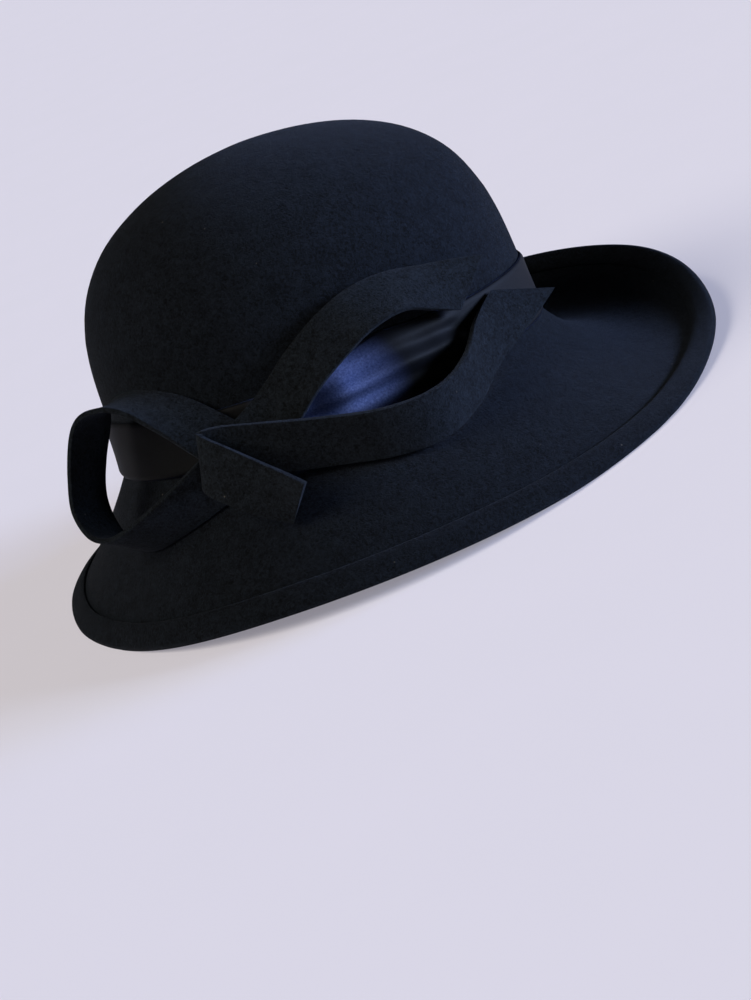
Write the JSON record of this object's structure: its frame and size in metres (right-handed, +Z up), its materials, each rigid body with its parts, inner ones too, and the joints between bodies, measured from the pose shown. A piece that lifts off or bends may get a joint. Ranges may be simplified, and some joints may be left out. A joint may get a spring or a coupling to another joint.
{
  "type": "felt hat",
  "caption": "Wool felt hat with a domed crown, a down-turned asymmetric brim with turned hem, a satin band and curled felt strips as side trim.",
  "frame": {"origin": "middle of the floor under the whole hat as it rests on its brim", "axes": "+Z up from the surface the hat rests on, -Y towards the wearer's front, -X towards the wearer's right, where the trim is"},
  "size_m": [0.2942, 0.3306, 0.1591],
  "materials": {
    "body_felt": "blocked wool felt, near black with a cool navy cast, matte with a short fuzz",
    "band_satin": "dark blue satin, smooth with a soft directional sheen",
    "strip_felt": "cut wool felt strip, matte faces and slightly paler cut edges"
  },
  "bodies": {
    "root": {"hat_body": "body_felt", "satin_band": "band_satin", "felt_strip_loop": "strip_felt", "felt_strip_curl": "strip_felt"}
  },
  "joints": []
}
